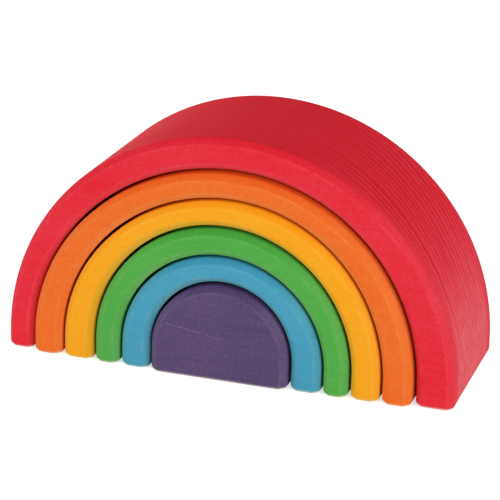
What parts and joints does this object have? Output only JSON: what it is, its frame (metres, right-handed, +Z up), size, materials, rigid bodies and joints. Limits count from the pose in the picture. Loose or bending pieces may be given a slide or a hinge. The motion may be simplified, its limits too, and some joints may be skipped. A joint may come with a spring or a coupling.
{
  "type": "rainbow stacker",
  "caption": "Nest of stained wooden arches over a solid half disc, for stacking, sorting and building; every piece lifts off the one that it covers.",
  "frame": {"origin": "on the table, under the middle of the nest's box", "axes": "+Z up, +X to the right along the nest's length, +Y from the front face to the back face"},
  "size_m": [0.17, 0.0666, 0.09],
  "materials": {
    "purple_stain": "sanded wood, purple water stain, matt",
    "blue_stain": "sanded wood, light blue water stain, matt",
    "green_stain": "sanded wood, green water stain, matt",
    "yellow_stain": "sanded wood, golden yellow water stain, matt",
    "orange_stain": "sanded wood, orange water stain, matt",
    "red_stain": "sanded wood, red water stain, matt"
  },
  "bodies": {
    "half_disc": {"half_disc": "purple_stain"},
    "blue_arch": {"blue_arch": "blue_stain"},
    "green_arch": {"green_arch": "green_stain"},
    "yellow_arch": {"yellow_arch": "yellow_stain"},
    "orange_arch": {"orange_arch": "orange_stain"},
    "red_arch": {"red_arch": "red_stain"}
  },
  "joints": [
    {"name": "blue_lift", "type": "slide", "parent": "half_disc", "child": "blue_arch", "axis": [0, 0, 1], "range_m": [0, 0.04]},
    {"name": "green_lift", "type": "slide", "parent": "blue_arch", "child": "green_arch", "axis": [0, 0, 1], "range_m": [0, 0.051]},
    {"name": "yellow_lift", "type": "slide", "parent": "green_arch", "child": "yellow_arch", "axis": [0, 0, 1], "range_m": [0, 0.062]},
    {"name": "orange_lift", "type": "slide", "parent": "yellow_arch", "child": "orange_arch", "axis": [0, 0, 1], "range_m": [0, 0.073]},
    {"name": "red_lift", "type": "slide", "parent": "orange_arch", "child": "red_arch", "axis": [0, 0, 1], "range_m": [0, 0.084]}
  ]
}
